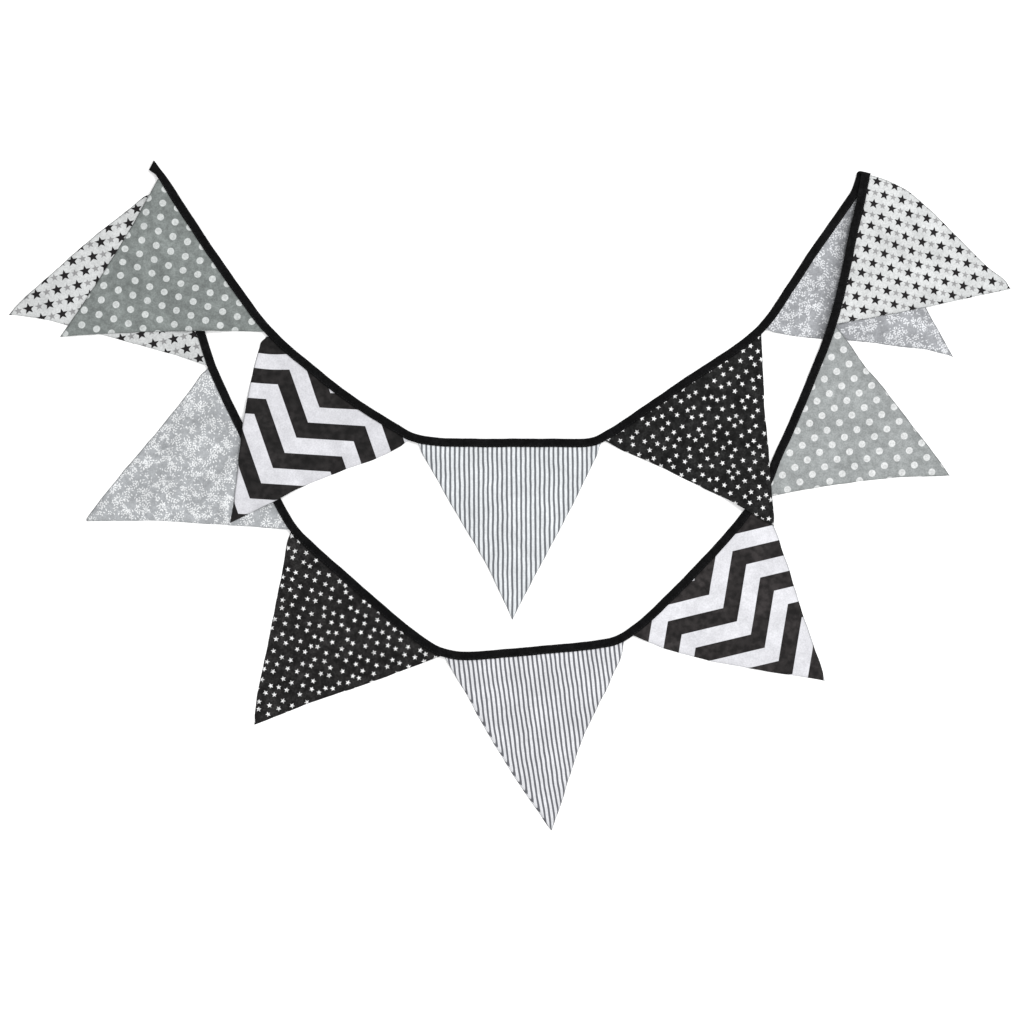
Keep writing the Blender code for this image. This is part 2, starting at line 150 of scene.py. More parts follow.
# Small bulges and hollows of a side: pennant, side A (0) or B (1), place along it, reach along it, outwards
BULGES = (
    (2, 0, 0.03, 0.03, 1.5), (2, 0, 0.07, 0.16, 2.3), (2, 1, 0.17, 0.16, 3.7), (2, 1, 0.60, 0.10, -1.4),
    (3, 0, 0.06, 0.08, 1.1), (3, 0, 0.42, 0.12, -0.5), (3, 0, 0.69, 0.22, -3.2), (3, 1, 0.06, 0.06, 1),
    (4, 0, 0.12, 0.10, 1.4), (4, 0, 0.74, 0.12, -1.2), (4, 1, 0.40, 0.08, -0.9), (4, 1, 0.94, 0.06, 0.7),
    (5, 0, 0.20, 0.20, 3.4), (5, 0, 0.84, 0.06, -1.4),
    (6, 0, 0.21, 0.07, 0.7), (6, 0, 0.72, 0.14, 1.2), (6, 0, 0.93, 0.09, 3),
    (7, 0, 0.25, 0.08, -1.6), (7, 0, 0.86, 0.12, 0.6), (7, 1, 0.90, 0.08, 1),
    (8, 0, 0.16, 0.12, 2), (8, 0, 0.36, 0.05, 0.8), (8, 0, 0.60, 0.08, -0.8), (8, 0, 0.92, 0.08, 1.1),
    (8, 1, 0.17, 0.05, 0.9), (8, 1, 0.57, 0.09, -0.7),
    (9, 0, 0.10, 0.08, 3), (9, 0, 0.24, 0.07, 1.6), (9, 0, 0.55, 0.17, -3.1), (9, 0, 0.74, 0.05, -0.9),
    (9, 1, 0.22, 0.09, -1), (9, 1, 0.85, 0.09, -0.8),
    (10, 0, 0.68, 0.18, -1.7), (10, 1, 0.06, 0.08, 1.3), (10, 1, 0.84, 0.16, 1.9),
    (11, 0, 0.64, 0.14, -1.2), (11, 1, 0.05, 0.06, 1.4), (11, 1, 0.40, 0.22, -1.2),
    (12, 0, 0.16, 0.12, -0.5), (12, 0, 0.80, 0.12, -1.6), (12, 1, 0.06, 0.08, 2.2),
    (12, 1, 0.88, 0.14, 1.9),
)

# What each upper pennant is draped over: upper, lower pennants, and whether the second row's tape too
DRAPES = ((1, (12,), True), (2, (11,), True), (4, (7, 8), True), (6, (5,), False), (7, (5,), False))

# Low swells where the cloth stands off the surface: pennant, x, y, length, width, turn, height
SWELLS = (
    (1, -385, 215, 42, 16, 35, 1.2),
    (2, -170, 55, 38, 13, -70, 1.4),
    (3, -28, -8, 46, 12, 75, 1.5), (3, 36, -22, 38, 11, -60, 1.1),
    (4, 200, 62, 44, 15, 40, 1.4),
    (5, 408, 165, 30, 11, -40, 0.9),
    (6, 418, 262, 48, 13, -42, 2.2), (6, 452, 215, 36, 12, 10, 1.2),
    (7, 372, 62, 46, 13, -55, 1.5),
    (8, 238, -112, 44, 14, -55, 1.6),
    (9, 22, -232, 52, 12, 80, 1.6), (9, 62, -212, 36, 10, -65, 1.1),
    (10, -190, -128, 46, 14, 60, 1.5),
    (11, -352, 22, 44, 14, 35, 1.3),
    (12, -438, 196, 38, 12, 15, 1.1),
)

# Soft ridges left by folding and handling: pennant, start x, y, end x, y, width, height
CREASES = (
    (1, -405, 172, -300, 192, 4, 0.30), (1, -372, 285, -318, 215, 5, 0.25),
    (2, -232, 128, -170, 78, 4, 0.40), (2, -255, 40, -160, 44, 5, 0.30),
    (3, -50, 20, 30, -60, 4.5, 0.28),
    (4, 160, 80, 240, 20, 4.5, 0.35),
    (5, 330, 169, 392, 161, 2.2, 0.55), (5, 300, 196, 322, 250, 5, 0.30),
    (6, 373, 294, 408, 214, 3.4, 0.85), (6, 415, 212, 470, 222, 4, 0.35),
    (7, 322, 128, 382, 40, 4.5, 0.35),
    (8, 196, -72, 262, -150, 4.5, 0.35), (8, 170, -112, 230, -84, 4, 0.30),
    (9, -20, -200, 34, -300, 4, 0.30), (9, 60, -170, 30, -262, 4.5, 0.30),
    (10, -225, -90, -150, -160, 5, 0.30),
    (11, -372, -8, -290, 52, 4.5, 0.35),
    (12, -470, 186, -400, 226, 4, 0.35),
)

# Uneven lie of all the cloth: length of the waves, height, how many
RIPPLES = ((52.0, 0.34, 5), (21.0, 0.14, 6), (9.0, 0.045, 7))
RIPPLE_FADE = 12.0
RIPPLE_SOFT = 0.1

# Where each print lies on its pennant: a point of its repeat, then the two repeats as they lie there
PRINTS = {
    1: ((-359.85, 208.95), (14.57, -4.97), (-2.23, -13.88)),
    7: ((334.05, 146.35), (5.06, -14.52), (-12.41, -7.56)),
    2: ((-190.15, 88.55), (75.9, -57.6), (-23.2, -30.4)),
    8: ((199.35, -99), (64.6, 70.1), (27.7, -26.4)),
    3: ((1.6, 28.8), (4.71, 0), (0.4, -50)),
    9: ((24.2, -178.1), (4.63, 0), (6.4, -50)),
    4: ((96.5, 52.5), (8.3, 5.6), (-5.6, 8.3)),
    10: ((-69.5, -161), (-9.1, 4.1), (-4.1, -9.1)),
    5: ((300, 200), (9.4, 3.4), (-3.4, 9.4)),
    11: ((-330, 40), (6.4, -7.7), (7.7, 6.4)),
    6: ((391.85, 295.75), (18.14, -4.48), (7.21, -13.58)),
    12: ((-416.75, 239.25), (20.65, 4.56), (13, -9.79)),
}

# Places where a print is pulled aside: pennant, x, y, reach, shift in x and in y
PULLS = (
    (1, -333, 233, 24, 0, -2), (1, -383, 220, 18, 0, 1.6),
    (1, -435, 165, 30, -0.8, -2.8),
    (2, -240, 140, 24, 0.5, -3), (2, -180, 103, 14, -0.8, -1),
    (6, 367, 262, 24, 1.8, 1.7), (6, 413, 247, 24, -1.6, -1.5),
    (6, 338, 190, 22, -2.8, -1.6),
    (7, 326, 158, 16, -1.6, -0.9),
    (8, 185, -84, 14, -1.2, 1.2),
    (9, 42, -325, 45, 1.8, 0),
    (12, -305, 145, 75, -3.2, 0.4),
)

# Unevenness of the woven stripes: length of the waves, height, how many
STRIPE_WAVES = ((40.0, 0.20, 4), (13.0, 0.10, 5))
STRIPE_SEED = 40

# The pennant whose side B rolls over and shows a strip of its back, and where that starts and ends
ROLL_PENNANT = 9
ROLL_WIDTH = 1.6
ROLL_START = 0.12
ROLL_OPEN = 0.16
ROLL_END = 0.99
ROLL_CLOSE = 0.10
ROLL_LEAST = 0.5
ROLL_GROOVE = 0.30
GROOVE_REACH = 0.7
NO_FOLD = 99.0

# The pennant that the binding's second run lies over, and the shade of a soft fold to the left of that run,
# painted into the cloth's colour: how deep and how far it reaches
SHADED_PENNANT = 5
SHADE_DEPTH = 0.54
SHADE_REACH = 8.0

# Cloth's looks: pitch of the threads, half the width of a star's soft edge, and how far from the side the
# seam allowance's inner edge shows as a painted shade line
THREAD_PITCH = 0.7
STAR_SOFT = 0.16
SEAM_LINE = 6.4

# Light: brightness that the key light and the light from all round give a white surface that faces up
KEY_LEVEL = 0.42
FILL_LEVEL = 0.90
LIGHT_LEVEL = KEY_LEVEL + FILL_LEVEL

# Camera straight above the middle of the picture
PICTURE_WIDTH = 1.024
CAMERA_PLACE = (0.00215, -0.01615)
CAMERA_HEIGHT = 3.2
SENSOR = 36.0


def ease(x):
    """Smooth step from 0 to 1."""
    x = np.clip(x, 0.0, 1.0)
    return x * x * (3.0 - 2.0 * x)


def between(t, t0, p0, t1, p1):
    """The place at t on the line on which p0 is at t0 and p1 at t1."""
    return ((t1 - t) * p0 + (t - t0) * p1) / (t1 - t0)


def spline(points, per_span=24):
    """Dense points on a smooth curve through the given points."""
    pts = np.asarray(points, float)
    pts = np.vstack([2 * pts[0] - pts[1], pts, 2 * pts[-1] - pts[-2]])
    out = []
    for k in range(len(pts) - 3):
        p = pts[k:k + 4]
        steps = np.linalg.norm(np.diff(p, axis=0), axis=1) ** 0.5
        at = np.concatenate([[0.0], np.cumsum(steps)])
        t = np.linspace(at[1], at[2], per_span, endpoint=False)[:, None]
        a = [between(t, at[i], p[i], at[i + 1], p[i + 1]) for i in range(3)]
        b = [between(t, at[i], a[i], at[i + 2], a[i + 1]) for i in range(2)]
        out.extend(between(t, at[1], b[0], at[2], b[1]))
    out.append(pts[-2])
    return np.array(out)


def read_off(place, places, rows):
    """Rows of values read off at places between those where they are given."""
    return np.array([np.interp(place, places, column) for column in rows.T]).T


def rows_of(table, *key):
    """The rest of every row of a table that starts with the given values."""
    return [row[len(key):] for row in table if row[:len(key)] == key]


def waves(places, rows, seed):
    """Sum of soft waves in random directions over points in the plane."""
    random = np.random.default_rng(seed)
    total = np.zeros(len(places))
    for length, height, count in rows:
        for _ in range(count):
            turn, phase = random.uniform(0.0, 2 * np.pi, 2)
            pace = 2 * np.pi / (length * random.uniform(0.75, 1.3))
            along = places[:, 0] * np.cos(turn) + places[:, 1] * np.sin(turn)
            total += height / np.sqrt(count) * np.sin(along * pace + phase)
    return total


def segment_gap(points, start, end):
    """Distance of each point from a segment, and how far along it the nearest place is, 0 to 1."""
    start = np.asarray(start, float)
    along = np.asarray(end, float) - start
    part = np.clip(((points - start) @ along) / (along @ along), 0.0, 1.0)
    return np.linalg.norm(points - start - part[:, None] * along, axis=1), part


class Strand:
    """One row of the binding: its centre line, and the side on which its pennants lie."""

    def __init__(self, rows, side):
        dense = spline(rows)
        self.xy = dense[:, :2]
        self.rest = np.maximum(dense[:, 2], 0.0)
        self.side = side
        steps = np.linalg.norm(np.diff(self.xy, axis=0), axis=1)
        self.s = np.concatenate([[0.0], np.cumsum(steps)])
        self.length = self.s[-1]
        tangent = np.gradient(self.xy, axis=0)
        self.tangent = tangent / np.linalg.norm(tangent, axis=1)[:, None]

    def at(self, s):
        """Centre, direction, sideways vector towards the pennants, and height of the underside."""
        centre = read_off(s, self.s, self.xy)
        tangent = read_off(s, self.s, self.tangent)
        tangent /= np.linalg.norm(tangent, axis=-1, keepdims=True)
        across = self.side * np.stack([tangent[..., 1], -tangent[..., 0]], axis=-1)
        return centre, tangent, across, np.interp(s, self.s, self.rest)

    def nearest(self, points):
        """Length along the row, and distance, of the row's point nearest to each given point."""
        dx = points[:, 0:1] - self.xy[None, :, 0]
        dy = points[:, 1:2] - self.xy[None, :, 1]
        gaps = dx * dx + dy * dy
        best = gaps.argmin(axis=1)
        return self.s[best], np.sqrt(gaps[np.arange(len(points)), best])

    def over(self, points):
        """Height to which cloth is lifted where it crosses this row of the binding."""
        s, gap = self.nearest(points)
        top = np.interp(s, self.s, self.rest) + TAPE_HEIGHT + DRAPE_GAP
        beyond = gap - TAPE_WIDTH / 2 - EDGE_MARGIN
        return top * (1.0 - ease(beyond / DRAPE_RUN))


def side_points(start, tip, centre, bow, peak, bulges, v):
    """Points on a pennant's side, v from 0 at the binding to 1 at the tip."""
    start = np.asarray(start, float)
    tip = np.asarray(tip, float)
    along = tip - start
    length = np.linalg.norm(along)
    normal = np.array([along[1], -along[0]]) / length
    if np.dot(normal, start - centre) < 0:
        normal = -normal
    v = np.asarray(v, float)[..., None]
    fall = (1.0 - peak) / peak
    shape = (v / peak) * (np.maximum(1.0 - v, 0.0) / (1.0 - peak)) ** fall
    place = v * length
    waver = np.sin(place / 2.9 + start[0]) * 0.4 + np.sin(place / 5.3 + start[1]) * 0.6
    waver = SIDE_WAVER * waver * np.sin(np.pi * v) ** 0.5
    out = bow * shape + waver
    fade = ease(v / BULGE_FADE) * ease((1.0 - v) / BULGE_FADE)
    for middle, reach, height in bulges:
        out = out + height * np.exp(-((v - middle) / reach) ** 2) * fade
    return start + along * v + normal * out


class Pennant:
    """One pennant: its outline on the surface, and the height of its underside."""

    def __init__(self, number, row, strands):
        self.number = number
        self.print, strand, a, b, self.tip, *bows = row
        self.name = f"flag_{number:02d}_{self.print}"
        self.bows = bows[:2], bows[2:]
        self.strand = strands[strand]
        ends, _ = self.strand.nearest(np.array([a, b], float))
        self.s_base = np.linspace(ends[0], ends[1], NET_STEPS + 1)
        centre, _, across, rest = self.strand.at(self.s_base)
        self.base = centre + across * TAPE_WIDTH / 2
        self.tucked = self.base - across * TUCK
        self.slot = rest + TAPE_HEIGHT / 2
        self.middle = (self.base[0] + self.base[-1] + np.array(self.tip)) / 3
        self.lower = []
        self.over_tape = None
        self.under_tape = None
        self.sides = [self.side(which, np.linspace(0.0, 1.0, SIDE_STEPS + 1)) for which in (0, 1)]
        self.outline = np.vstack([self.sides[0], self.sides[1][-2::-1], self.base[-2:0:-4]])

    def side(self, which, v):
        """Points on side A (0) or side B (1)."""
        start = self.base[-1 if which else 0]
        bulges = rows_of(BULGES, self.number, which)
        return side_points(start, self.tip, self.middle, *self.bows[which], bulges, v)

    def row(self, k):
        """Points of row k of the triangular net, from side A to side B, closer together at the sides."""
        v = k / NET_STEPS
        count = NET_STEPS - k
        if count == 0:
            return np.array([self.tip], float)
        left = self.side(0, v)
        right = self.side(1, v)
        width = np.linalg.norm(right - left)
        f = np.linspace(0.0, 1.0, count + 1)
        near = np.array(EDGE_COLUMNS) / width
        if count > 4 * len(near):
            inner = np.linspace(near[-1], 1.0 - near[-1], count + 1 - 2 * len(near))
            f = np.concatenate([[0.0], near[:-1], inner, 1.0 - near[-2::-1], [1.0]])
        f = f[:, None]
        places = f[:, 0] * NET_STEPS
        base = read_off(places, np.arange(NET_STEPS + 1), self.base)
        sag = base - (self.base[0] + (self.base[-1] - self.base[0]) * f)
        return left + (right - left) * f + sag * (1.0 - v) ** 2

    def outside(self, points):
        """Distance of each point outside the outline, negative inside."""
        start = self.outline
        end = np.roll(self.outline, -1, axis=0)
        along = end - start
        rel = points[:, None, :] - start[None, :, :]
        part = np.clip((rel * along).sum(2) / (along ** 2).sum(1), 0.0, 1.0)
        gap = np.linalg.norm(rel - part[..., None] * along, axis=2).min(axis=1)
        above = (start[None, :, 1] > points[:, None, 1]) != (end[None, :, 1] > points[:, None, 1])
        rise = np.where(along[:, 1] == 0, 1.0, along[:, 1])
        cross_x = start[:, 0] + (points[:, None, 1] - start[:, 1]) / rise * along[:, 0]
        inside = (above & (points[:, None, 0] < cross_x)).sum(axis=1) % 2 == 1
        return np.where(inside, -gap, gap)

    def side_gap(self, points, which):
        """Distance from side A or side B, and how far down that side, 0 to 1."""
        line = self.sides[which]
        gaps = np.full(len(points), np.inf)
        places = np.zeros(len(points))
        for k in range(len(line) - 1):
            gap, part = segment_gap(points, line[k], line[k + 1])
            closer = gap < gaps
            gaps = np.where(closer, gap, gaps)
            places = np.where(closer, (k + part) / (len(line) - 1), places)
        return gaps, places

    def lift(self, points):
        """Height of the cloth's underside above the surface."""
        s, gap = self.strand.nearest(points)
        s = np.clip(s, self.s_base[0], self.s_base[-1])
        _, _, _, rest = self.strand.at(s)
        from_slot = rest + TAPE_HEIGHT / 2 - CLOTH / 2
        run = SLOPE_RUN + SLOPE_RUN_PER_MM * from_slot
        from_tape = gap - TAPE_WIDTH / 2
        lifts = [from_slot * (1.0 - ease(from_tape / run))]
        if self.over_tape is not None:
            lifts.append(self.over_tape.over(points))
        for other in self.lower:
            beyond = other.outside(points) - EDGE_MARGIN
            top = other.lift(points) + CLOTH + DRAPE_GAP
            lifts.append(top * (1.0 - ease(beyond / DRAPE_RUN)))
        for x, y, length, width, turn, height in rows_of(SWELLS, self.number):
            angle = np.radians(turn)
            rel = points - np.array([x, y])
            u = (rel[:, 0] * np.cos(angle) + rel[:, 1] * np.sin(angle)) / length
            w = (rel[:, 1] * np.cos(angle) - rel[:, 0] * np.sin(angle)) / width
            lifts.append(height * (1.0 - ease(np.sqrt(u * u + w * w))))
        main = (np.array(lifts) ** LIFT_POWER).sum(axis=0) ** (1.0 / LIFT_POWER)
        uneven = waves(points, RIPPLES, self.number)
        uneven = 0.5 * (uneven + np.sqrt(uneven ** 2 + RIPPLE_SOFT ** 2))
        for x0, y0, x1, y1, width, height in rows_of(CREASES, self.number):
            across, part = segment_gap(points, (x0, y0), (x1, y1))
            fade = np.sin(np.pi * np.clip(part, 0.02, 0.98)) ** 0.5
            uneven += height * np.exp(-(across / width) ** 2) * fade
        return main + uneven * ease(from_tape / RIPPLE_FADE)

    def sheet(self, points):
        """Heights of the cloth's underside and upper side."""
        gap_a, _ = self.side_gap(points, 0)
        gap_b, place_b = self.side_gap(points, 1)
        gap = np.minimum(gap_a, gap_b)
        rounded = 1.0 - np.clip(gap / EDGE_ROUND, 0.0, 1.0)
        half = RIM_HALF + (CLOTH / 2 - RIM_HALF) * np.sqrt(1.0 - rounded ** 2)
        _, from_row = self.strand.nearest(points)
        away = ease((from_row - TAPE_WIDTH / 2) / SEAM_WIDTH)
        seam = SEAM_RISE * (1.0 - ease((gap - SEAM_WIDTH) / SEAM_FADE)) * ease(gap / SEAM_START) * away
        roll = self.roll(place_b)
        seam = seam - ROLL_GROOVE * np.exp(-((gap_b - roll) / GROOVE_REACH) ** 2) * (roll > ROLL_LEAST)
        under = self.lift(points)
        return under, under + 2 * half + seam

    def edges(self, points):
        """Distance of each point from the nearer side, and from the fold of a rolled side, which set the
        painted shade along the sides and the fold.

        A side that faces down the picture is in the light, so its distance counts for more and its painted
        shade is fainter.
        """
        gap_a, _ = self.side_gap(points, 0)
        gap_b, place_b = self.side_gap(points, 1)
        roll = self.roll(place_b)
        fold = np.where(roll > ROLL_LEAST, gap_b - roll, NO_FOLD)
        lit_a, lit_b = (EDGE_LIGHT * max(-self.outwards(which)[1], 0.0) for which in (0, 1))
        return np.column_stack([np.minimum(gap_a + lit_a, gap_b + lit_b), fold])

    def shade(self, points):
        """How deep the shade is beside the binding's second run, which lies over this pennant."""
        s, gap = self.under_tape.nearest(points)
        centre, _, across, _ = self.under_tape.at(s)
        left = ((points - centre) * across).sum(axis=1) < 0
        beyond = np.maximum(gap - TAPE_WIDTH / 2, 0.0)
        return SHADE_DEPTH * np.exp(-(beyond / SHADE_REACH) ** 2) * left

    def outwards(self, which):
        """Direction straight out of side A (0) or side B (1)."""
        line = self.sides[which]
        along = line[-1] - line[0]
        normal = np.array([along[1], -along[0]]) / np.linalg.norm(along)
        return normal if np.dot(normal, line[0] - self.middle) > 0 else -normal

    def roll(self, place):
        """Width of the strip of turned edge that shows at a place down side B, 0 on all pennants but one."""
        width = ROLL_WIDTH if self.number == ROLL_PENNANT else 0.0
        return width * ease((place - ROLL_START) / ROLL_OPEN) * ease((ROLL_END - place) / ROLL_CLOSE)

    def print_places(self, points):
        """Where each point lies in the print, counted in repeats."""
        anchor, first, second = (np.array(value) for value in PRINTS[self.number])
        places = points.copy()
        for x, y, reach, shift_x, shift_y in rows_of(PULLS, self.number):
            gaps = np.linalg.norm(points - np.array([x, y]), axis=1)
            places -= np.exp(-(gaps / reach) ** 2)[:, None] * np.array([shift_x, shift_y])
        if self.print == "stripe":
            places[:, 0] += waves(points, STRIPE_WAVES, self.number + STRIPE_SEED)
        for which in (0, 1):
            gap, place = self.side_gap(points, which)
            shift = EDGE_TURN * (1.0 - np.clip(gap / EDGE_TURN_REACH, 0.0, 1.0)) ** 2
            if which == 1:
                roll = self.roll(place)
                shift = np.where(roll > ROLL_LEAST, -2.0 * np.maximum(roll - gap, 0.0), shift)
            places += shift[:, None] * self.outwards(which)
        return (places - anchor) @ np.linalg.inv(np.array([first, second]))

    def flat_size(self):
        """Width along the binding, height from there to the tip, and area of one layer, in metres."""
        width = self.s_base[-1] - self.s_base[0]
        start = self.base[0]
        along = self.base[-1] - start
        rel = np.array(self.tip) - start
        height = abs(along[0] * rel[1] - along[1] * rel[0]) / np.linalg.norm(along) + TUCK
        x, y = self.outline.T
        area = abs(np.dot(x, np.roll(y, -1)) - np.dot(y, np.roll(x, -1))) / 2 + width * TUCK
        return width * MM, height * MM, area * MM * MM


def new_object(name, data):
    """An object of the scene."""
    item = bpy.data.objects.new(name, data)
    bpy.context.scene.collection.objects.link(item)
    return item


def new_piece(name, verts, faces, material, layers=None):
    """Closed mesh piece from points in millimetres, with named layers of flat places."""
    mesh = bpy.data.meshes.new(name)
    mesh.from_pydata([tuple(v) for v in np.asarray(verts) * MM], [], faces)
    corners = np.zeros(len(mesh.loops), np.int32)
    mesh.loops.foreach_get("vertex_index", corners)
    for title, places in (layers or {}).items():
        layer = mesh.uv_layers.new(name=title)
        layer.data.foreach_set("uv", np.asarray(places)[corners].astype(np.float32).ravel())
    work = bmesh.new()
    work.from_mesh(mesh)
    bmesh.ops.recalc_face_normals(work, faces=work.faces)
    work.to_mesh(mesh)
    work.free()
    mesh.shade_smooth()
    mesh.materials.append(material)
    return new_object(name, mesh)


def make_pennant(pennant, material):
    """The pennant's two layers as one closed piece, from the tucked edge in the binding to the tip."""
    rows = [pennant.tucked] + [pennant.row(k) for k in range(NET_STEPS + 1)]
    starts = np.concatenate([[0], np.cumsum([len(row) for row in rows])])
    flat = np.vstack(rows)
    under, upper = pennant.sheet(flat)
    held = starts[2]
    slot = np.concatenate([pennant.slot, pennant.slot])
    half = np.minimum((upper - under)[:held], CLOTH) / 2
    under[:held] = slot - half
    upper[:held] = slot + half
    count = len(flat)
    cells = []
    for j in range(NET_STEPS):
        a, b = starts[0] + j, starts[1] + j
        cells.append((a, b, b + 1))
        cells.append((a, b + 1, a + 1))
    for k in range(1, len(rows) - 1):
        wide = len(rows[k])
        for j in range(wide - 1):
            a, b = starts[k] + j, starts[k + 1] + j
            cells.append((a, b, a + 1))
            if j < wide - 2:
                cells.append((a + 1, b, b + 1))
    rim = list(starts[:-1])
    rim += [starts[k] + len(rows[k]) - 1 for k in range(len(rows) - 2, -1, -1)]
    rim += [starts[0] + j for j in range(len(rows[0]) - 2, 0, -1)]
    faces = [tuple(int(i) for i in cell) for cell in cells]
    faces += [tuple(int(i) + count for i in reversed(cell)) for cell in cells]
    for i, j in zip(rim, rim[1:] + rim[:1]):
        faces.append((int(i), int(j), int(j) + count, int(i) + count))
    verts = np.vstack([np.column_stack([flat, upper]), np.column_stack([flat, under])])
    layers = {"print": pennant.print_places(flat), "edge": pennant.edges(flat)}
    if pennant.under_tape is not None:
        layers["shade"] = np.column_stack([pennant.shade(flat), np.zeros(count)])
    layers = {title: np.vstack([places, places]) for title, places in layers.items()}
    return new_piece("cloth_" + pennant.name, verts, faces, material, layers)


def tape_profile():
    """Outer and inner line of the folded binding's section, from the lower lip to the upper one."""
    lip = TAPE_WIDTH / 2
    spine = SPINE_REACH - lip
    level = SLOT_HEIGHT / 2 + TAPE_LEAF / 2
    lip_end = LIP_PLACES[-1]
    places = lip - np.concatenate([LIP_PLACES, np.linspace(lip_end, lip - spine, LEAF_STEPS + 1)[1:]])
    leaf = np.column_stack([places, level - LIP_PINCH * (1.0 - ease((lip - places) / LIP_RUN))])
    halves = TAPE_LEAF / 2 * np.sqrt(1.0 - (1.0 - np.clip((lip - places) / lip_end, 0.0, 1.0)) ** 2)
    halves = np.maximum(halves, LIP_LEAST)
    angles = np.linspace(0.0, np.pi, ARC_STEPS + 1)[1:-1]
    reach = SPINE_REACH - TAPE_LEAF / 2
    arc = np.column_stack([spine - reach * np.sin(angles), -level * np.cos(angles)])
    centre = np.vstack([leaf * (1.0, -1.0), arc, leaf[::-1]])
    half = np.concatenate([halves, np.full(len(arc), TAPE_LEAF / 2), halves[::-1]])
    along = np.gradient(centre, axis=0)
    along /= np.linalg.norm(along, axis=1)[:, None]
    outwards = np.column_stack([-along[:, 1], along[:, 0]])
    return centre + outwards * half[:, None], centre - outwards * half[:, None]


def ring_faces(count, corners, start=0):
    """Faces between rings of points that follow one another."""
    faces = []
    for r in range(count - 1):
        for c in range(corners):
            a = start + r * corners + c
            b = start + r * corners + (c + 1) % corners
            faces.append((a, b, b + corners, a + corners))
    return faces


def fold_frames(start, side, end, end_side):
    """Frames of the flat fold, in which the binding turns over, from one row's end to the next's start."""
    radius = (TAPE_HEIGHT + FOLD_GAP) / 2
    up = np.array([0.0, 0.0, 1.0])
    crease = np.radians(FOLD_CREASE_ANGLE)
    axis = np.array([np.cos(crease), np.sin(crease), 0.0])
    ahead = np.cross(up, axis)
    drift = end - start - 2 * radius * up
    turned_side = axis * np.dot(side, axis) - ahead * np.dot(side, ahead)
    frames = []
    for k in range(1, FOLD_STEPS):
        part = k / FOLD_STEPS
        angle = np.pi * part
        place_k = start + drift * part + ahead * radius * np.sin(angle) + up * radius * (1.0 - np.cos(angle))
        ahead_k = ahead * np.cos(angle) + up * np.sin(angle)
        up_k = up * np.cos(angle) - ahead * np.sin(angle)
        side_k = axis * np.dot(side, axis) + ahead_k * np.dot(side, ahead) + (end_side - turned_side) * part
        frames.append((place_k, side_k * (1.0 + FOLD_SPREAD * np.sin(angle)), up_k))
    return frames


def end_spread(number, s):
    """How much wider the binding's open half is at a length along a row, as a share."""
    if number == 2:
        return 0.0
    lengths, outwards = np.array(TAPE_END_EDGE).T
    return np.interp(s, lengths, outwards) / (TAPE_WIDTH / 2)


def make_tape(strands, material):
    """The whole binding as one piece: first row, flat fold, second row."""
    outer, inner = tape_profile()
    section = np.vstack([outer, inner[::-1]])
    across_places = np.concatenate([[0.0], np.cumsum(np.linalg.norm(np.diff(outer, axis=0), axis=1))])
    across_places = np.concatenate([across_places, across_places[::-1]])
    rings = []
    runs = []
    run = 0.0
    for number in (1, 2):
        strand = strands[number]
        stations = np.linspace(0.0, strand.length, int(strand.length / TAPE_STEP) + 1)
        centre, tangent, across, rest = strand.at(stations)
        for k, s in enumerate(stations):
            place = np.array([*centre[k], rest[k] + TAPE_HEIGHT / 2])
            sideways = np.array([*across[k], 0.0])
            upright = np.array([0.0, 0.0, float(strand.side)])
            waver = TAPE_WAVER * (np.sin(s / 7.3 + number) + 0.6 * np.sin(s / 3.1))
            swing = waver * ease(min(s, strand.length - s) / TAPE_WAVER_FADE)
            ring = place + (section[:, :1] + swing) * sideways + section[:, 1:] * upright
            ring = ring + np.maximum(section[:, :1], 0.0) * end_spread(number, s) * sideways
            if number == 1 and s < TAPE_END_RUN:
                slant = (section[:, :1] * TAPE_END_SKEW - TAPE_END_REACH) * (1.0 - s / TAPE_END_RUN)
                ring = ring + slant * np.array([*tangent[k], 0.0])
            rings.append(ring)
            runs.append(run + s)
        run += strand.length
        if number == 1:
            next_centre, _, next_across, next_rest = strands[2].at(0.0)
            end = np.array([*next_centre, next_rest + TAPE_HEIGHT / 2])
            for place, side, up in fold_frames(place, sideways, end, np.array([*next_across, 0.0])):
                run += np.pi * (TAPE_HEIGHT + FOLD_GAP) / 2 / FOLD_STEPS
                rings.append(place + section[:, :1] * side + section[:, 1:] * up)
                runs.append(run)
    corners = len(section)
    faces = ring_faces(len(rings), corners)
    for base in (0, (len(rings) - 1) * corners):
        for c in range(len(outer) - 1):
            faces.append((base + c, base + c + 1, base + corners - 2 - c, base + corners - 1 - c))
    places = np.column_stack([np.repeat(runs, corners), np.tile(across_places, len(runs))])
    piece = new_piece("cloth_tape", np.vstack(rings), faces, material, {"print": places})
    return piece, run, 2 * (outer[:, 0].max() - outer[:, 0].min()) + TAPE_HEIGHT / 2


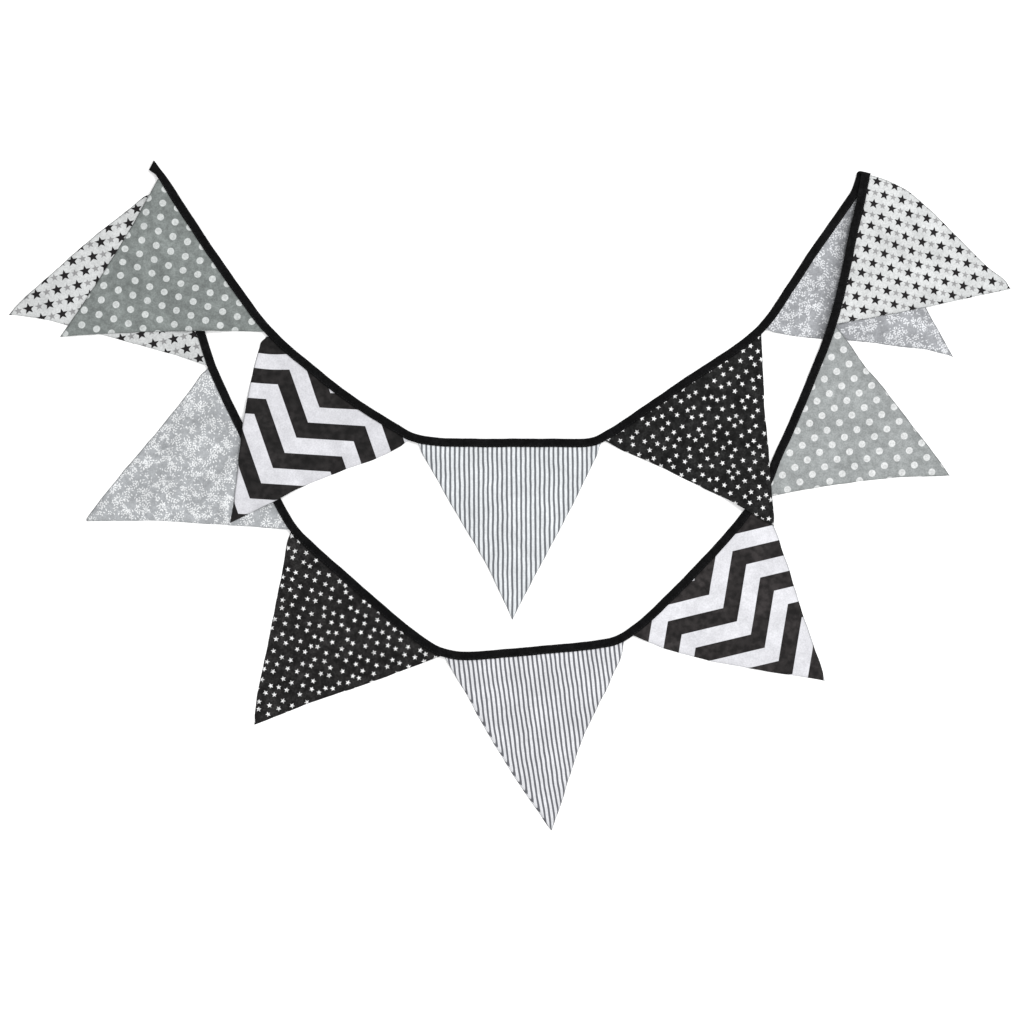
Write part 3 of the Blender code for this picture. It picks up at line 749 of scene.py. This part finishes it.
def make_stitches(strands, material):
    """The row of lockstitches that closes the binding over the pennants, on its upper side."""
    outer, _ = tape_profile()
    upper = outer[len(outer) // 2:]
    inset = TAPE_WIDTH / 2 - STITCH_INSET
    order = np.argsort(upper[:, 0])
    level = np.interp(inset, upper[order, 0], upper[order, 1])
    parts = np.linspace(-0.5, 0.5, 5)
    arch = STITCH_RADIUS * (1.0 - (2 * parts) ** 2) - STITCH_SINK * STITCH_RADIUS
    angles = np.linspace(0.0, 2 * np.pi, STITCH_SIDES, endpoint=False)
    verts = []
    faces = []
    for number, strand in strands.items():
        count = int((strand.length - 2 * STITCH_START) / STITCH_PITCH)
        stations = STITCH_START + STITCH_PITCH * np.arange(count)
        centre, tangent, across, rest = strand.at(stations)
        for k in range(count):
            start = len(verts)
            for part, rise in zip(parts, arch):
                slim = STITCH_RADIUS * (1.0 - STITCH_TAPER * (2 * part) ** 2)
                aside = inset * (1.0 + end_spread(number, stations[k]))
                middle = centre[k] + across[k] * aside + tangent[k] * part * STITCH_LENGTH
                height = rest[k] + TAPE_HEIGHT / 2 + level + rise
                for angle in angles:
                    place = middle + across[k] * slim * np.cos(angle)
                    verts.append((place[0], place[1], height + slim * np.sin(angle)))
            faces += ring_faces(len(parts), STITCH_SIDES, start)
            last = start + (len(parts) - 1) * STITCH_SIDES
            faces.append(tuple(start + c for c in range(STITCH_SIDES)))
            faces.append(tuple(last + c for c in range(STITCH_SIDES)))
    return new_piece("thread_binding_stitches", verts, faces, material)


def paint(red, green, blue):
    """Surface colour that shows as the given display colour in this light."""
    values = np.array([red, green, blue]) / 255.0
    linear = np.where(values <= 0.04045, values / 12.92, ((values + 0.055) / 1.055) ** 2.4)
    return (*(linear / LIGHT_LEVEL), 1.0)


class Value:
    """A value in a cloth's shader, on which the signs of arithmetic add maths nodes."""

    def __init__(self, cloth, socket):
        self.cloth = cloth
        self.socket = socket

    def __add__(self, other):
        return self.cloth.math("ADD", self, other)

    def __sub__(self, other):
        return self.cloth.math("SUBTRACT", self, other)

    def __rsub__(self, other):
        return self.cloth.math("SUBTRACT", other, self)

    def __mul__(self, other):
        return self.cloth.math("MULTIPLY", self, other)

    def __truediv__(self, other):
        return self.cloth.math("DIVIDE", self, other)

    def __abs__(self):
        return self.cloth.math("ABSOLUTE", self)


class Cloth:
    """A cloth material with its print's two repeats in millimetres, and short ways to add shader nodes."""

    def __init__(self, name, first=(1.0, 0.0), second=(0.0, 1.0), sheen=0.05, shine=0.20):
        self.material = bpy.data.materials.new(name)
        self.material.use_nodes = True
        self.tree = self.material.node_tree
        self.shader = self.tree.nodes["Principled BSDF"]
        self.shader.inputs["Specular IOR Level"].default_value = shine
        self.shader.inputs["Sheen Weight"].default_value = sheen
        self.shader.inputs["Sheen Roughness"].default_value = 0.55
        self.repeats = first, second
        self.uv = self.layer("print")
        self.place = Value(self, self.tree.nodes.new("ShaderNodeTexCoord").outputs["Object"])

    def feed(self, socket, value):
        """Link a value to a socket, or set the socket's own."""
        if isinstance(value, Value):
            self.tree.links.new(value.socket, socket)
        elif value is not None:
            socket.default_value = value[:3] if socket.type == "VECTOR" else value

    def node(self, kind, inputs, **settings):
        """Outputs of a new node, whose inputs are given in their order, or by place or title."""
        node = self.tree.nodes.new("ShaderNode" + kind)
        for title, value in settings.items():
            setattr(node, title, value)
        for title, value in inputs.items() if isinstance(inputs, dict) else enumerate(inputs):
            self.feed(node.inputs[title], value)
        return [Value(self, socket) for socket in node.outputs]

    def layer(self, title):
        """Places from one of the piece's flat layers."""
        return self.node("UVMap", (), uv_map=title)[0]

    def math(self, operation, *values):
        """Value of a maths node."""
        return self.node("Math", values, operation=operation)[0]

    def vector(self, operation, *values):
        """Result of a vector maths node."""
        result = 1 if operation in ("DOT_PRODUCT", "LENGTH") else 0
        return self.node("VectorMath", values, operation=operation)[result]

    def scaled(self, vector, amount):
        """A vector or a colour times a value."""
        return self.node("VectorMath", {0: vector, "Scale": amount}, operation="SCALE")[0]

    def split(self, vector):
        """The x and y of a vector."""
        return self.node("SeparateXYZ", (vector,))[:2]

    def join(self, x, y):
        """A vector from its x and y."""
        return self.node("CombineXYZ", (x, y))[0]

    def ramp(self, value, low, high, start=0.0, end=1.0):
        """Smooth step of a value between two limits."""
        return self.node("MapRange", (value, low, high, start, end), interpolation_type="SMOOTHSTEP")[0]

    def mix(self, factor, first, second):
        """Blend of two colours, which a mix node takes in places 6 and 7."""
        return self.node("Mix", {0: factor, 6: first, 7: second}, data_type="RGBA")[2]

    def noise(self, vector, scale, detail):
        """Noise value."""
        return self.node("TexNoise", {"Vector": vector, "Scale": scale, "Detail": detail})[0]

    def patches(self, scale, detail, amount):
        """Soft patches of less and more than 1, by up to the amount."""
        return self.ramp(self.noise(self.place, scale, detail), 0.32, 0.68, 1.0 - amount, 1.0 + amount)

    def cells(self, vector, randomness):
        """Cells of about unit size: the place within the cell, and the cell's random colour."""
        inputs = {"Vector": vector, "Scale": 1.0, "Randomness": randomness}
        _, colour, middle, *_ = self.node("TexVoronoi", inputs, voronoi_dimensions="2D")
        return self.vector("SUBTRACT", vector, middle), colour

    def in_mm(self, vector):
        """Millimetres across and down the cloth, from a place counted in repeats."""
        return [self.vector("DOT_PRODUCT", vector, (*steps, 0.0)) for steps in zip(*self.repeats)]

    def repeat(self, shift=0.0):
        """Place within the nearest repeat in millimetres, with the print moved on by a share of a repeat."""
        moved = self.vector("ADD", self.uv, (shift, 0.0, 0.0))
        rounded = self.vector("FLOOR", self.vector("ADD", moved, (0.5, 0.5, 0.0)))
        return self.in_mm(self.vector("SUBTRACT", moved, rounded))

    def petal(self, x, y, count, turn=0.0):
        """Forward and aside of a place, along the nearest of a ring of petals or points."""
        half = np.pi / count
        reach = self.math("SQRT", x * x + y * y)
        folded = self.math("WRAP", self.math("ARCTAN2", x, y) + turn, half, -half)
        return reach * self.math("COSINE", folded), reach * self.math("SINE", folded)

    def star(self, x, y, radius, waist, turn=0.0):
        """1 inside a five-pointed star about the local origin."""
        forward, aside = self.petal(x, y, 5, turn)
        notch = np.array([np.cos(np.pi / 5), np.sin(np.pi / 5)]) * radius * waist
        edge = notch - np.array([radius, 0.0])
        normal = np.array([edge[1], -edge[0]]) / np.linalg.norm(edge)
        beyond = (forward - radius) * normal[0] + abs(aside) * normal[1]
        return self.ramp(beyond, STAR_SOFT, -STAR_SOFT)

    def uneven(self, colour, amount):
        """A colour with faded and darker patches."""
        return self.scaled(colour, self.patches(160.0, 5.0, amount) * self.patches(45.0, 3.0, 0.6 * amount))

    def dress(self, colour, mottle, grain, weave=0.35, edge=0.45):
        """Give the shader its colour with thread and handling variation and painted shade along the sides,
        its roughness and its weave; edge is how dark that painted shade gets at the very side.
        """
        x, y = self.in_mm(self.uv)
        across = self.noise(self.join(x * 0.22, y * 2.4), 1.0, 3.0)
        down = self.noise(self.join(x * 2.4, y * 0.22), 1.0, 3.0)
        threads = (across + down) * 0.5
        tone = self.ramp(threads, 0.3, 0.7, 0.95, 1.05)
        for scale, amount in ((34.0, mottle), (130.0, 0.7 * mottle), (620.0, grain)):
            tone = tone * self.patches(scale, 3.0, amount)
        # Painted shade: darker at the sides where the turned edge rolls away, a fainter broad painted shade a
        # few millimetres in, a faint painted shade line at the seam allowance's inner edge, and a painted
        # shade line along the fold of the rolled side.
        if edge is not None:
            gap, fold = self.split(self.layer("edge"))
            tone = tone * self.ramp(gap, 0.1, 1.7, edge, 1.0)
            tone = tone * self.ramp(gap, 1.0, 5.5, 0.95, 1.0)
            tone = tone * self.ramp(abs(gap - SEAM_LINE), 0.2, 1.3, 0.975, 1.0)
            tone = tone * self.ramp(abs(fold), 0.0, 0.6, 0.8, 1.0)
        self.feed(self.shader.inputs["Base Color"], self.scaled(colour, tone))
        self.feed(self.shader.inputs["Roughness"], self.ramp(threads, 0.3, 0.7, 0.78, 0.92))
        warp, weft = (self.math("SINE", place * (2 * np.pi / THREAD_PITCH)) for place in (x, y))
        heights = {"Strength": weave, "Distance": 0.25 * MM, "Height": threads + warp * weft * 0.15}
        self.feed(self.shader.inputs["Normal"], self.node("Bump", heights)[0])
        return self.material


def dots_cloth(name, ground, dot, patchy):
    """White dots on grey, in a slanted repeat."""
    radius, soft = 3.45, 0.20
    cloth = Cloth(name, (15.4, 0.0), (2.7, -14.0))
    reach = cloth.vector("LENGTH", cloth.join(*cloth.repeat()))
    mask = cloth.ramp(reach, radius + soft, radius - soft)
    inside = cloth.scaled(dot, cloth.ramp(reach, 0.6, 2.8, 0.93, 1.0))
    return cloth.dress(cloth.mix(mask, cloth.uneven(ground, patchy), inside), mottle=0.04, grain=0.13)


def chevron_cloth(name, dark, light):
    """Broad zigzag bands, dark and light in turn."""
    zigzag_depth = 0.828
    cloth = Cloth(name, (95.3, 0.0), (0.0, -38.2))
    u, v = cloth.split(cloth.uv)
    place = cloth.math("FRACT", v + cloth.math("PINGPONG", u, 0.5) * (2 * zigzag_depth))
    from_light = abs(place - 0.25)
    from_light = cloth.math("MINIMUM", from_light, 1.0 - from_light)
    mask = cloth.ramp(from_light, 0.256, 0.244)
    return cloth.dress(cloth.mix(mask, cloth.uneven(dark, 0.50), light), mottle=0.06, grain=0.07)


def stripe_cloth(name, light, dark):
    """Narrow woven stripes, with a fine faint one halfway from each to the next."""
    cloth = Cloth(name, (4.7, 0.0), (0.0, -50.0))
    u, _ = cloth.split(cloth.uv)
    off = abs(u - cloth.math("ROUND", u))
    broad = cloth.ramp(off, 0.25, 0.19)
    fine = cloth.ramp(abs(off - 0.5), 0.05, 0.02, 0.0, 0.10)
    return cloth.dress(cloth.mix(cloth.math("MAXIMUM", broad, fine), light, dark), mottle=0.05, grain=0.06)


def stars_cloth(name, ground, star):
    """Small light stars scattered on black, each with its own turn."""
    spacing, radius = 10.2, 2.75
    cloth = Cloth(name, (10.0, 0.0), (0.0, 10.0), shine=0.08)
    place = cloth.scaled(cloth.join(*cloth.in_mm(cloth.uv)), 1.0 / spacing)
    local, colour = cloth.cells(place, 0.44)
    turn, _ = cloth.split(colour)
    mask = cloth.star(*cloth.split(cloth.scaled(local, spacing)), radius, 0.44, turn * (2 * np.pi))
    return cloth.dress(cloth.mix(mask, cloth.uneven(ground, 0.45), star), mottle=0.06, grain=0.40, edge=0.9)


def two_stars_cloth(name, ground, dark, pale):
    """Black stars and smaller grey stars in turn along rows, each row moved on by half a repeat."""
    cloth = Cloth(name, (19.2, 0.0), (9.6, -12.1))
    black = cloth.star(*cloth.repeat(), 5.55, 0.43)
    grey = cloth.star(*cloth.repeat(0.5), 3.9, 0.42)
    return cloth.dress(cloth.mix(black, cloth.mix(grey, ground, pale), dark), mottle=0.06, grain=0.10)


def blob(cloth, along, aside, length, width):
    """1 inside a small oval."""
    return cloth.ramp(cloth.vector("LENGTH", cloth.join(along / length, aside / width)), 1.2, 0.8)


def strewn(cloth, spacing, shift):
    """Cells, each with its own turn: along and aside of the middle in millimetres, and a random value."""
    x, y = cloth.in_mm(cloth.uv)
    moved = cloth.join(x + shift, y - 0.7 * shift)
    local, colour = cloth.cells(cloth.scaled(moved, 1.0 / spacing), 0.85)
    x, y = cloth.split(cloth.scaled(local, spacing))
    turn, chance = cloth.split(colour)
    cosine, sine = (cloth.math(operation, turn * (2 * np.pi)) for operation in ("COSINE", "SINE"))
    return x * cosine + y * sine, y * cosine - x * sine, chance


def spray(cloth, spacing, shift):
    """White leaf sprays: leaves in pairs along a bowed stem, one spray to a cell, each with its own turn."""
    pitch, lean, from_stem = 2.6, np.radians(48.0), 1.30
    along, aside, bend = strewn(cloth, spacing, shift)
    aside = aside - along * along * ((bend - 0.5) * 0.16)
    step = along / pitch
    ahead = (step - cloth.math("ROUND", step)) * pitch
    outer = abs(aside) - from_stem
    length = ahead * np.cos(lean) + outer * np.sin(lean)
    width = outer * np.cos(lean) - ahead * np.sin(lean)
    within = cloth.ramp(abs(along), spacing * 0.44, spacing * 0.40)
    return blob(cloth, length, width, 1.20, 0.56) * within


def blossoms(cloth, spacing, radius, petals, length, shift):
    """Small flowers with a dark middle, in some of the cells."""
    along, aside, chance = strewn(cloth, spacing, shift)
    forward, aside = cloth.petal(along, aside, petals)
    return blob(cloth, forward - radius, aside, length, 0.55) * cloth.ramp(chance, 0.40, 0.42)


def flecks(cloth, spacing, shift):
    """Short strokes, in some of the cells."""
    along, aside, chance = strewn(cloth, spacing, shift)
    return blob(cloth, along, aside, 1.25, 0.55) * cloth.ramp(chance, 0.50, 0.52)


def leaves_cloth(name, ground, white, shaded=False):
    """Grey-blue cotton strewn with white leaf sprays, small flowers and flecks."""
    cloth = Cloth(name, (10.0, 0.0), (0.0, 10.0))
    mask = spray(cloth, 14.0, 0.0)
    mask = cloth.math("MAXIMUM", mask, blossoms(cloth, 8.0, 1.65, 5, 0.90, 11.0))
    mask = cloth.math("MAXIMUM", mask, blossoms(cloth, 12.0, 3.2, 9, 1.50, 23.0))
    mask = cloth.math("MAXIMUM", mask, flecks(cloth, 3.2, 5.0))
    place = cloth.join(*cloth.in_mm(cloth.uv))
    bare = cloth.ramp(cloth.noise(place, 0.075, 1.0), 0.36, 0.44)
    worn = cloth.ramp(cloth.noise(place, 0.35, 2.0), 0.35, 0.6, 0.8, 1.0)
    colour = cloth.mix(mask * bare * worn, cloth.uneven(ground, 0.06), white)
    # Painted shade: the cloth is darker to the left of the binding's second run
    if shaded:
        shade, _ = cloth.split(cloth.layer("shade"))
        colour = cloth.scaled(colour, 1.0 - shade)
    return cloth.dress(colour, mottle=0.09, grain=0.09)


def binding_cloth(name, colour):
    """Black twill binding."""
    cloth = Cloth(name, sheen=0.02, shine=0.06)
    return cloth.dress(cloth.uneven(colour, 0.3), mottle=0.08, grain=0.45, weave=0.5, edge=None)


def thread_cloth(name, colour):
    """Black sewing thread, twisted."""
    cloth = Cloth(name, sheen=0.1)
    twist = cloth.noise(cloth.place, 2600.0, 1.0)
    tone = cloth.ramp(twist, 0.3, 0.7, 0.7, 1.3)
    cloth.feed(cloth.shader.inputs["Base Color"], cloth.scaled(colour, tone))
    cloth.feed(cloth.shader.inputs["Roughness"], cloth.ramp(twist, 0.3, 0.7, 0.45, 0.65))
    return cloth.material


def make_materials():
    """Material of each pennant by its number, of the binding and of its thread."""
    black = paint(28, 25, 27)
    return {
        1: dots_cloth("cotton_dots_dark", paint(136, 142, 140), paint(217, 221, 220), 0.15),
        7: dots_cloth("cotton_dots_pale", paint(163, 167, 167), paint(230, 232, 232), 0.10),
        2: chevron_cloth("cotton_chevron_left", paint(34, 32, 32), paint(230, 230, 235)),
        8: chevron_cloth("cotton_chevron_right", paint(44, 41, 41), paint(236, 236, 241)),
        3: stripe_cloth("cotton_stripe_upper", paint(244, 248, 251), paint(117, 120, 125)),
        9: stripe_cloth("cotton_stripe_lower", paint(246, 247, 251), paint(114, 115, 121)),
        4: stars_cloth("cotton_stars_upper", paint(34, 34, 34), paint(246, 246, 246)),
        10: stars_cloth("cotton_stars_lower", paint(38, 37, 37), paint(246, 246, 246)),
        5: leaves_cloth("cotton_leaves_right", paint(166, 168, 172), paint(239, 241, 244), True),
        11: leaves_cloth("cotton_leaves_left", paint(180, 183, 186), paint(250, 252, 253)),
        6: two_stars_cloth("cotton_two_stars_right", paint(219, 221, 221), black, paint(162, 162, 163)),
        12: two_stars_cloth("cotton_two_stars_left", paint(220, 222, 222), black, paint(158, 158, 159)),
        "tape": binding_cloth("binding_black", paint(15, 15, 16)),
        "thread": thread_cloth("thread_black", paint(16, 16, 18)),
    }


def make_floor():
    """Plain pale floor."""
    mesh = bpy.data.meshes.new("floor")
    reach = 6.0
    corners = [(-reach, -reach, 0.0), (reach, -reach, 0.0), (reach, reach, 0.0), (-reach, reach, 0.0)]
    mesh.from_pydata(corners, [], [(0, 1, 2, 3)])
    floor = new_object("floor", mesh)
    material = bpy.data.materials.new("floor_pale")
    material.use_nodes = True
    shader = material.node_tree.nodes["Principled BSDF"]
    shader.inputs["Base Color"].default_value = (0.92, 0.92, 0.92, 1.0)
    shader.inputs["Roughness"].default_value = 0.9
    shader.inputs["Specular IOR Level"].default_value = 0.1
    shader.inputs["Emission Color"].default_value = (1.0, 1.0, 1.0, 1.0)
    shader.inputs["Emission Strength"].default_value = 0.2
    mesh.materials.append(material)


def make_light():
    """One broad key light from the upper right, and even light from all round."""
    key = bpy.data.lights.new("key", "AREA")
    key.shape = "DISK"
    key.size = 1.1
    place = np.array([1.5, 1.5, 2.4])
    distance = np.linalg.norm(place)
    slant = place[2] / distance
    key.energy = KEY_LEVEL * np.pi ** 2 * distance ** 2 / slant
    lamp = new_object("key", key)
    lamp.location = place
    aim = lamp.constraints.new("TRACK_TO")
    aim.target = new_object("key_aim", None)
    aim.track_axis = "TRACK_NEGATIVE_Z"
    aim.up_axis = "UP_Y"
    world = bpy.data.worlds.new("studio")
    world.use_nodes = True
    background = world.node_tree.nodes["Background"]
    background.inputs["Color"].default_value = (1.0, 1.0, 1.0, 1.0)
    background.inputs["Strength"].default_value = FILL_LEVEL
    bpy.context.scene.world = world


def make_camera():
    """Camera straight above, framing the picture's width at the surface."""
    data = bpy.data.cameras.new("camera")
    data.sensor_width = SENSOR
    data.lens = SENSOR * CAMERA_HEIGHT / PICTURE_WIDTH
    data.clip_end = 20.0
    camera = new_object("camera", data)
    camera.location = (*CAMERA_PLACE, CAMERA_HEIGHT)
    bpy.context.scene.camera = camera
    bpy.context.scene.view_settings.view_transform = "Standard"


def main():
    """Dress the frame: floor, light, camera, the pennants and the binding."""
    make_floor()
    make_light()
    make_camera()
    materials = make_materials()
    strands = {1: Strand(FIRST_ROW, 1), 2: Strand(SECOND_ROW, -1)}
    pennants = {number: Pennant(number, row, strands) for number, row in enumerate(PENNANTS, 1)}
    pennants[SHADED_PENNANT].under_tape = strands[2]
    for upper, lower, over_tape in DRAPES:
        pennants[upper].lower = [pennants[number] for number in lower]
        pennants[upper].over_tape = strands[2] if over_tape else None
    tape, length, width = make_tape(strands, materials["tape"])
    stitches = make_stitches(strands, materials["thread"])
    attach(tape, "root")
    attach(stitches, "root")
    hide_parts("tape")
    width * MM
    length * MM
    for number, pennant in pennants.items():
        piece = make_pennant(pennant, materials[number])
        width, height, area = pennant.flat_size()
        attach(piece, "root")
        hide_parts(pennant.name)


main()
